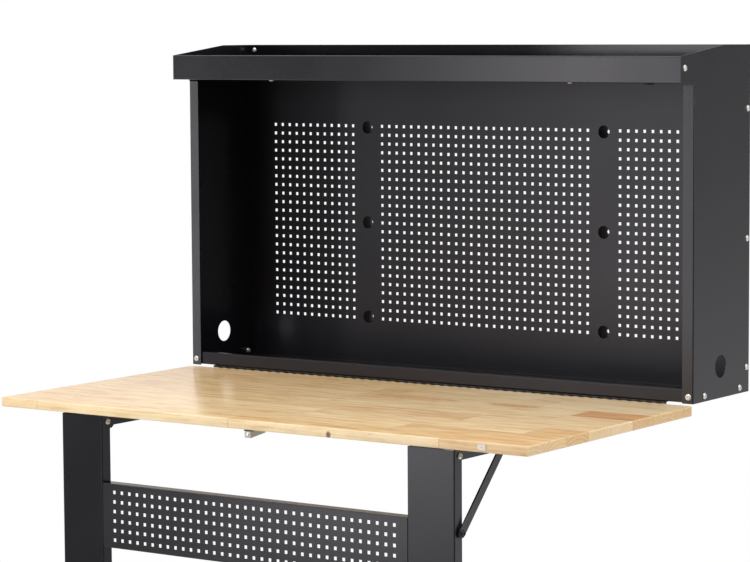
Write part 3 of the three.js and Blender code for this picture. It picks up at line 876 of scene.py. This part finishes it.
def back_panel():
    """The back panel with its square perforations and round access holes, folded back to the wall."""
    low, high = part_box("back_panel")
    plain_from, plain_to = (count * BACK_PITCH for count in PLAIN_COLUMNS)
    columns = [x for x in centred(BACK_COLUMNS, BACK_PITCH) if not plain_from < abs(x) < plain_to]
    rows = centred(BACK_ROWS, BACK_PITCH, BACK_MIDDLE)
    heights = [BACK_MIDDLE + step * ACCESS_RISE for step in (-1, 0, 1)]
    access = [(side * ACCESS_COLUMN, height) for side in (-1, 1) for height in heights]
    work = bmesh.new()
    add_perforated(work, (low.x, high.x), (low.z, high.z), low.y, columns, rows, BACK_HOLE, access)
    fold = low.y + SHEET
    wall = high.y
    for x0, x1 in end_walls(low, high):
        add_box(work, (x0, fold, low.z), (x1, wall, high.z))
    left, right = low.x + SHEET, high.x - SHEET
    for z0, z1, hem in [(low.z, low.z + SHEET, 1), (high.z - SHEET, high.z, -1)]:
        add_box(work, (left, fold, z0), (right, wall, z1))
        edge = z1 if hem > 0 else z0
        hem_low, hem_high = sorted((edge, edge + hem * (WALL_HEM - SHEET)))
        add_box(work, (left, wall - SHEET, hem_low), (right, wall, hem_high))
    return finished_mesh("perforated_panel", work)


def leg_panel():
    """The perforated panel between the legs, with a rounded fold along its top and bottom."""
    low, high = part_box("leg_panel")
    rows = [high.z - LEG_EDGE - i * LEG_PITCH for i in range(LEG_ROWS)]
    front, rear = low.y, low.y + LEG_FLANGE
    across = (low.x, high.x)
    work = bmesh.new()
    face = (low.z + BEND, high.z - BEND)
    add_perforated(work, across, face, front, centred(LEG_COLUMNS, LEG_PITCH), rows, LEG_HOLE)
    inside = (low.x + SHEET, high.x - SHEET)
    start = BEND + SHEET / 4
    add_folded(work, [(rear, high.z), (front, high.z), (front, high.z - start)], inside, along_x)
    add_folded(work, [(front, low.z + start), (front, low.z), (rear, low.z)], inside, along_x)
    for x0, x1 in end_walls(low, high):
        add_box(work, (x0, front + SHEET, low.z), (x1, rear, high.z))
    return finished_mesh("leg_panel_folded", work)


def side_panel(side):
    """A side panel: a wall with the cable hole and the tray's ear, and a flange folded across the front."""
    low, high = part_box("left_side_panel" if side < 0 else "right_side_panel")
    outside = side * max(abs(low.x), abs(high.x))
    front = -CABINET_DEPTH
    start = front + FLANGE_START
    wall = [
        (high.y, low.z), (start, low.z), (start, FLANGE_TOP), (front, FLANGE_TOP), (front, EAR_BOTTOM),
        (low.y, EAR_BOTTOM), (low.y, EAR_TOP), (-SLOPE_END, high.z), (high.y, high.z),
    ]
    hole = []
    for i in range(CABLE_STEPS):
        angle = 2 * math.pi * i / CABLE_STEPS
        away = (CABLE_RADIUS * math.cos(angle), CABLE_RADIUS * math.sin(angle))
        hole.append((CABLE_HOLE[0] + away[0], CABLE_HOLE[1] + away[1]))
    work = bmesh.new()
    edges = []
    for loop in (wall, hole):
        verts = [work.verts.new((outside, y, z)) for y, z in loop]
        edges += [work.edges.new((a, b)) for a, b in zip(verts, verts[1:] + verts[:1])]
    bmesh.ops.triangle_fill(work, use_beauty=True, use_dissolve=False, edges=edges, normal=(side, 0, 0))
    thicken(work, work.faces[:], (-side * SHEET, 0.0, 0.0))
    spring = FLANGE_WIDTH * FLANGE_SPRING[side]
    line = [(outside, start), (outside, front), (outside - side * FLANGE_WIDTH, front - spring)]
    add_folded(work, line[::-side], (low.z, FLANGE_TOP), along_z)
    return finished_mesh("side_panel_folded", work)


def tray_lip():
    """The tray's deep lip, folded along its foot and its hem, with ends that lie on the ears."""
    low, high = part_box("tray_fascia")
    line = [(low.y + FASCIA_HEM, high.z), (low.y, high.z), (low.y, low.z), (low.y + FASCIA_FOOT, low.z)]
    work = bmesh.new()
    add_folded(work, line, (low.x, high.x), along_x)
    for x0, x1 in end_walls(low, high):
        add_box(work, (x0, low.y + SHEET, low.z + FASCIA_END_RISE), (x1, low.y + FASCIA_END, high.z - SHEET))
    return finished_mesh("tray_lip_folded", work)


def cabinet_floor():
    """The bottom panel, folded up into the front rail and into tabs at the back and the sides."""
    low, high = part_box("bottom_panel")
    rail, tab = low.z + RAIL_HEIGHT, low.z + FLOOR_TAB
    line = [(low.y + RAIL_RETURN, rail), (low.y, rail), (low.y, low.z), (high.y, low.z), (high.y, tab)]
    work = bmesh.new()
    add_folded(work, line, (low.x, high.x), along_x)
    for x0, x1 in end_walls(low, high):
        add_box(work, (x0, low.y + RAIL_RETURN, low.z + SHEET), (x1, high.y - BEND, tab))
    return finished_mesh("cabinet_floor_folded", work)


def leg_channel(node):
    """A leg: a folded channel that is open at the back, with its upper rear corners cut away."""
    low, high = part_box(node)
    start = high.y - LEG_TOP_CHAMFER

    def top(point):
        return high.z - max(0.0, point[1] - start)

    left = [(low.x, high.y), (low.x, start), (low.x, low.y)]
    right = [(high.x, low.y), (high.x, start), (high.x, high.y)]
    work = bmesh.new()
    add_folded(work, left + right, (low.z, top), along_z, LEG_SHEET)
    return finished_mesh(node + "_folded", work)


def worktop_outline(low, high, inset):
    """The four corner arcs of the worktop, with as many points for any inset."""
    points = []
    for quarter, (sx, sy) in enumerate([(1, 1), (-1, 1), (-1, -1), (1, -1)]):
        radius = REAR_CORNER if sy > 0 else FRONT_CORNER
        arc = max(radius - inset, LEAST_ARC)
        cx = (high.x - radius) if sx > 0 else (low.x + radius)
        cy = (high.y - radius) if sy > 0 else (low.y + radius)
        for i in range(CORNER_STEPS + 1):
            angle = math.radians(90 * quarter + 90 * i / CORNER_STEPS)
            points.append((cx + arc * math.cos(angle), cy + arc * math.sin(angle)))
    return points


def worktop_slab():
    """The worktop, with round corners and a soft round along its upper and lower edges."""
    low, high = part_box("worktop")
    rings = []
    for i in range(EDGE_STEPS + 1):
        turn = math.radians(90 * i / EDGE_STEPS)
        rings.append((EDGE_RADIUS * (1 - math.sin(turn)), low.z + EDGE_RADIUS * (1 - math.cos(turn))))
    rings += [(inset, high.z + low.z - z) for inset, z in reversed(rings)]
    work = bmesh.new()
    loops = [[work.verts.new((x, y, z)) for x, y in worktop_outline(low, high, inset)] for inset, z in rings]
    for lower, upper in zip(loops, loops[1:]):
        add_band(work, lower, upper)
    work.faces.new(loops[0][::-1])
    work.faces.new(loops[-1])
    return finished_mesh("worktop_slab", work, SLAB_SMOOTH)


def lying(y, z):
    """The cabinet's leaf lies flat under the cabinet floor."""
    return (y, z)


def hanging(y, z):
    """The worktop's leaf hangs on the worktop's rear edge."""
    return (z, -y)


def knuckle_outline():
    """A knuckle curled from its leaf, as points in Y and Z about the pin."""
    tang = BARREL_RADIUS + LEAF_RELIEF + LEAF_SHEET
    inside = BARREL_RADIUS - LEAF_SHEET
    start = math.pi / 2
    end = 2 * math.pi + math.asin(inside / BARREL_RADIUS)
    curl = [start + (end - start) * i / KNUCKLE_STEPS for i in range(KNUCKLE_STEPS + 1)]
    points = [(tang, BARREL_RADIUS)]
    points += [(BARREL_RADIUS * math.cos(a), BARREL_RADIUS * math.sin(a)) for a in curl]
    points.append((tang, inside))
    return points


def add_prism(work, outline, x0, x1, centre):
    """An outline in Y and Z, carried along X."""
    ends = [[work.verts.new((x, centre[0] + y, centre[1] + z)) for y, z in outline] for x in (x0, x1)]
    add_band(work, *ends)
    work.faces.new(ends[0])
    work.faces.new(ends[1][::-1])


def hinge_leaf(node, first, turn):
    """One leaf of the long hinge with round knuckles."""
    low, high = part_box(node)
    pin_low, pin_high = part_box("hinge_pin")
    centre = ((pin_low.y + pin_high.y) / 2, (pin_low.z + pin_high.z) / 2)
    length = (high.x - low.x) / KNUCKLE_COUNT
    knuckle = [turn(*point) for point in knuckle_outline()]
    start, inside = BARREL_RADIUS + LEAF_RELIEF, BARREL_RADIUS - LEAF_SHEET
    strip = [(start, inside), (LEAF_WIDTH, inside), (LEAF_WIDTH, BARREL_RADIUS), (start, BARREL_RADIUS)]
    work = bmesh.new()
    for i in range(first, KNUCKLE_COUNT, 2):
        left = low.x + i * length
        add_prism(work, knuckle, left + KNUCKLE_GAP / 2, left + length - KNUCKLE_GAP / 2, centre)
    add_prism(work, [turn(*point) for point in strip], low.x, high.x, centre)
    return finished_mesh(node + "_curled", work, SLAB_SMOOTH)


def turned_mesh(name, profile, origin, axis):
    """A profile of (distance along the axis, radius, sides), turned about the axis.

    Six sides make a hexagon, and none make a circle.
    """
    axis = Vector(axis).normalized()
    side = axis.orthogonal().normalized()
    other = axis.cross(side)
    work = bmesh.new()
    rings = []
    for along, radius, sides in profile:
        ring = []
        for i in range(TURN_STEPS):
            angle = 2 * math.pi * i / TURN_STEPS
            reach = radius
            if sides:
                half = math.pi / sides
                reach = radius * math.cos(half) / math.cos((angle % (2 * half)) - half)
            away = (side * math.cos(angle) + other * math.sin(angle)) * reach
            ring.append(work.verts.new(Vector(origin) + axis * along + away))
        rings.append(ring)
    for lower, upper in zip(rings, rings[1:]):
        add_band(work, lower, upper)
    work.faces.new(rings[0][::-1])
    work.faces.new(rings[-1])
    return finished_mesh(name, work, SCREW_SMOOTH)


def dome(start, radius, height, socket):
    """The domed head of a screw with a hexagon socket, as a profile that starts at its underside."""
    rim, edge = radius * DOME_RIM, height * DOME_EDGE
    profile = [(start, radius * DOME_FOOT, 0), (start + edge, radius, 0)]
    for i in range(1, DOME_STEPS + 1):
        turn = i / DOME_STEPS
        fall = math.sqrt(1 - turn * turn * DOME_FALL)
        reach = rim + (radius - rim) * fall * (1 - DOME_DRAW * turn)
        profile.append((start + edge + (height - edge) * turn, reach, 0))
    top = start + height
    profile.append((top, socket * SOCKET_FLARE, 6))
    profile.append((top - height * SOCKET_CHAMFER, socket, 6))
    profile.append((top - height * SOCKET_DEPTH, socket * SOCKET_TAPER, 6))
    return profile


def screw(name, place, axis, grip=SCREW_GRIP, head=SCREW_HEAD, height=SCREW_DOME, nut=True):
    """A domed screw at a place on the outer face.

    The axis points out, and the nut is on the far side of the grip.
    """
    if nut:
        end = -grip - NUT_HEIGHT
        seat = -grip - NUT_GAP
        tip = end - SCREW_TIP
        profile = [(tip, SCREW_SHANK * TIP_TAPER, 0), (tip + NUT_CHAMFER, SCREW_SHANK, 0)]
        profile += [(end, SCREW_SHANK, 0), (end, NUT_RADIUS * NUT_TAPER, 6)]
        profile += [(end + NUT_CHAMFER, NUT_RADIUS, 6), (seat, NUT_RADIUS, 6), (seat, SCREW_SHANK, 0)]
    else:
        profile = [(-grip, SCREW_SHANK * POINT_TAPER, 0), (-grip + SCREW_POINT, SCREW_SHANK, 0)]
    profile.append((HEAD_GAP, SCREW_SHANK, 0))
    profile += dome(HEAD_GAP, head, height, SCREW_SOCKET)
    add_piece(name, turned_mesh(name, profile, place, axis), "cabinet", ZINC)


def round_bolt(node, body, finish, out, nut_height=BOLT_NUT_HEIGHT, spacer=None):
    """Replaces a faceted bolt by a round one of its length: nut inside, shank, and a domed head outside.

    A lower nut is a stud's round button.
    """
    low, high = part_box(node)
    middle = (low + high) / 2
    length = high.x - low.x
    head = (high.z - low.z) / 2
    start = low.x if out > 0 else high.x
    sides = 6 if nut_height == BOLT_NUT_HEIGHT else 0
    profile = [(0.0, BOLT_NUT * NUT_TAPER, sides), (BOLT_CHAMFER, BOLT_NUT, sides)]
    profile += [(nut_height, BOLT_NUT, sides), (nut_height, SCREW_SHANK, 0)]
    if spacer:
        near, far = spacer
        profile += [(near, SCREW_SHANK, 0), (near, BOLT_NUT, 0), (far, BOLT_NUT, 0), (far, SCREW_SHANK, 0)]
    profile.append((length - BOLT_DOME - HEAD_GAP, SCREW_SHANK, 0))
    profile += dome(length - BOLT_DOME, head, BOLT_DOME, SCREW_SOCKET)
    name = node + "_round"
    mesh = turned_mesh(name, profile, (start, middle.y, middle.z), (out, 0, 0))
    add_piece(name, mesh, body, finish, [node])


def cabinet_screws():
    """Screws that hold the cabinet's sheets together, seen on its front corners, sides and tray ends."""
    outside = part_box("right_side_panel")[1].x
    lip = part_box("tray_fascia")[0]
    forward, down = (0, -1, 0), (0, 0, -1)
    for hand, side in (("left", -1), ("right", 1)):
        away = (side, 0, 0)
        x, z = CORNER_SCREW
        screw(f"{hand}_corner_screw", (side * x, -CABINET_DEPTH, z), forward, height=LOW_DOME)
        for i, z in enumerate(REAR_SCREW_HEIGHTS):
            screw(f"{hand}_rear_screw_{i}", (side * outside, REAR_SCREW_DEPTH, z), away)
        for i, y in enumerate(FLOOR_SCREW_DEPTHS):
            screw(f"{hand}_floor_screw_{i}", (side * outside, y, FLOOR_SCREW_HEIGHT), away)
        screw(f"{hand}_ear_screw", (side * outside, *EAR_SCREW), away)
        x, y = LIP_SCREW
        screw(f"{hand}_foot_screw", (side * x, y, lip.z), down, head=SMALL_HEAD, height=SMALL_DOME)
        x, y, z = TRAY_SCREW
        screw(f"{hand}_tray_screw", (side * x, y, z), forward, TRAY_SCREW_GRIP, head=SMALL_HEAD, nut=False)


def strike_screw():
    """A small screw that fills the strike plate's hole, flush with its face."""
    low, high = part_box("strike_plate")
    middle = (low + high) / 2
    radius, socket = STRIKE_SCREW, STRIKE_SOCKET
    profile = [(STRIKE_END, radius * POINT_TAPER, 0), (STRIKE_HEEL, radius, 0)]
    profile += [(STRIKE_RIM, radius, 0), (STRIKE_FACE, radius * STRIKE_CHAMFER, 0)]
    profile += [(STRIKE_FACE, socket, 6), (STRIKE_SOCKET_FLOOR, socket * STRIKE_CHAMFER, 6)]
    mesh = turned_mesh("strike_screw", profile, (middle.x, low.y, middle.z), (0, -1, 0))
    add_piece("strike_screw", mesh, "folding_top", PALE_ZINC)


def build_pieces():
    add_piece("perforated_panel", back_panel(), "cabinet", DULL_BLACK, ["back_panel"])
    add_piece("tray_lip_folded", tray_lip(), "cabinet", BLACK, ["tray_fascia"])
    add_piece("cabinet_floor_folded", cabinet_floor(), "cabinet", DULL_BLACK, ["bottom_panel"])
    add_piece("leg_panel_folded", leg_panel(), "leg_frame", BLACK, ["leg_panel"])
    add_piece("worktop_slab", worktop_slab(), "folding_top", WOOD, ["worktop"])
    upper = hinge_leaf("cabinet_hinge_leaf", 0, lying)
    add_piece("cabinet_leaf_curled", upper, "cabinet", STEEL, ["cabinet_hinge_leaf"])
    # The worktop's leaf takes the dark brown zinc, which is painted shade and a painted reflection of the
    # wood.
    lower = hinge_leaf("worktop_hinge_leaf", 1, hanging)
    add_piece("worktop_leaf_curled", lower, "folding_top", SHADED_BROWN_ZINC, ["worktop_hinge_leaf"])
    # The left leg takes the low-sheen copy of the paint, which is painted shade.
    for hand, side, leg_black in (("left", -1, SHADED_BLACK), ("right", 1, LEG_BLACK)):
        panel, leg = f"{hand}_side_panel", f"{hand}_leg"
        add_piece(panel + "_folded", side_panel(side), "cabinet", BLACK, [panel])
        add_piece(leg + "_folded", leg_channel(leg), "leg_frame", leg_black, [leg])
        round_bolt(f"{hand}_outer_pivot_bolt", "folding_top", ZINC, side)
        round_bolt(f"{hand}_inner_pivot_bolt", "folding_top", ZINC, -side)
        round_bolt(f"{hand}_brace_stud", f"{hand}_brace_arm", ZINC, side, STUD_BUTTON)
        round_bolt(f"{hand}_brace_bolt", "leg_frame", STEEL, side, spacer=BRACE_SPACER)
    cabinet_screws()
    strike_screw()


def dress_solids():
    dress(["tray_floor", "left_brace", "right_brace"], BLACK)
    # The rails' lighter black is painted light inside them, seen through the access holes.
    dress(["left_wall_rail", "right_wall_rail"], LIGHTENED_RAIL_BLACK)
    # The left bracket and brace keeper take the low-sheen copy of the paint, which is painted shade.
    dress(["left_leg_bracket", "left_brace_keeper"], SHADED_BLACK)
    dress(["right_leg_bracket", "right_brace_keeper"], LEG_BLACK)
    dress(["hinge_pin", "front_catch_plate"], STEEL)
    dress(["front_catch_bracket"], DULL_ZINC, FINE_BEVEL)
    dress(["strike_plate"], PALE_ZINC, FINE_BEVEL)
    dress(["front_catch_rivet"], ZINC, TINY_BEVEL)
    dress(["catch_magnet"], DARK_NICKEL, TINY_BEVEL)
    dress(["left_foot", "right_foot"], PLASTIC, FOOT_BEVEL)


def softbox(name, place, target, size, power):
    lamp = bpy.data.lights.new(name, "AREA")
    lamp.shape = "RECTANGLE"
    lamp.size, lamp.size_y = size
    lamp.energy = power
    stand = bpy.data.objects.new(name, lamp)
    stand.location = place
    stand.rotation_euler = (Vector(target) - Vector(place)).to_track_quat("-Z", "Y").to_euler()
    stand.visible_camera = False
    bpy.context.scene.collection.objects.link(stand)


def shade_towards(x, y, way, start, full, share):
    """How much darker a direction is, near one way."""
    return (x * way[0] + y * way[1]).step_up(start, full) * share


def studio():
    """White surroundings whose mirror image is darker in three directions, and soft lamps."""
    scene = bpy.context.scene
    scene.view_settings.view_transform = "Standard"
    scene.world = bpy.data.worlds.new("white_studio")
    air = Finish(scene.world)
    path = air.node("ShaderNodeLightPath").socket.node
    rays = ("Is Camera Ray", "Is Glossy Ray", "Is Transmission Ray")
    seen, glossy, passed = (Wire(air, path.outputs[name]) for name in rays)
    x, y, z = air.axes(air.node("ShaderNodeTexCoord", output="Generated"))
    bench_shade = shade_towards(x, y, *BEHIND_BENCH) * z.step_up(*BENCH_SHADE_FOOT)
    mirrored = (1.0 - shade_towards(x, y, *BEHIND_CAMERA)) * (1.0 - shade_towards(x, y, *FRONT_LEFT))
    mirrored = mirrored * (1.0 - bench_shade)
    shown = seen + passed
    strength = shown + glossy * mirrored + (1.0 - shown - glossy) * ROOM_LIGHT
    sockets = {"Color": colour(1.0, 1.0, 1.0), "Strength": strength}
    air.finished("ShaderNodeOutputWorld", air.node("ShaderNodeBackground", sockets=sockets))
    for lamp in SOFTBOXES:
        softbox(*lamp)


def pale_floor():
    """A pale floor disc that fades out before the photograph's view reaches it."""
    low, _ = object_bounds()
    work = bmesh.new()
    bmesh.ops.create_circle(work, cap_ends=True, segments=FLOOR_STEPS, radius=FLOOR_RADIUS)
    mesh = bpy.data.meshes.new("floor_disc")
    work.to_mesh(mesh)
    work.free()
    paint = new_finish("pale_floor")
    x, y, _ = paint.axes(paint.place())
    sockets = {"Base Color": colour(*FLOOR_TONE), "Roughness": FLOOR_ROUGHNESS}
    pale = paint.node("ShaderNodeBsdfPrincipled", sockets=sockets)
    clear = paint.node("ShaderNodeBsdfTransparent")
    fade = reach_of(x, y).step_up(*FLOOR_FADE)
    blend = paint.node("ShaderNodeMixShader", sockets={0: fade, 1: pale, 2: clear})
    mesh.materials.append(paint.finished("ShaderNodeOutputMaterial", blend))
    floor = bpy.data.objects.new("floor_disc", mesh)
    floor.location = (0.0, FLOOR_MIDDLE, low.z - FLOOR_DROP)
    bpy.context.scene.collection.objects.link(floor)
    floor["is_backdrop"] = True


def photograph_camera():
    lens = bpy.data.cameras.new("photograph_camera")
    lens.sensor_fit = "HORIZONTAL"
    lens.sensor_width = SENSOR_WIDTH
    lens.lens = FOCAL_PIXELS * SENSOR_WIDTH / IMAGE_WIDTH
    lens.clip_end = CAMERA_REACH
    camera = bpy.data.objects.new("photograph_camera", lens)
    camera.location = CAMERA_PLACE
    yaw = Matrix.Rotation(math.radians(CAMERA_YAW), 3, "Z")
    pitch = Matrix.Rotation(math.radians(90 - CAMERA_PITCH), 3, "X")
    roll = Matrix.Rotation(math.radians(-CAMERA_ROLL), 3, "Z")
    camera.rotation_euler = (yaw @ pitch @ roll).to_euler()
    bpy.context.scene.collection.objects.link(camera)
    bpy.context.scene.camera = camera


dress_solids()
build_pieces()
studio()
pale_floor()
photograph_camera()
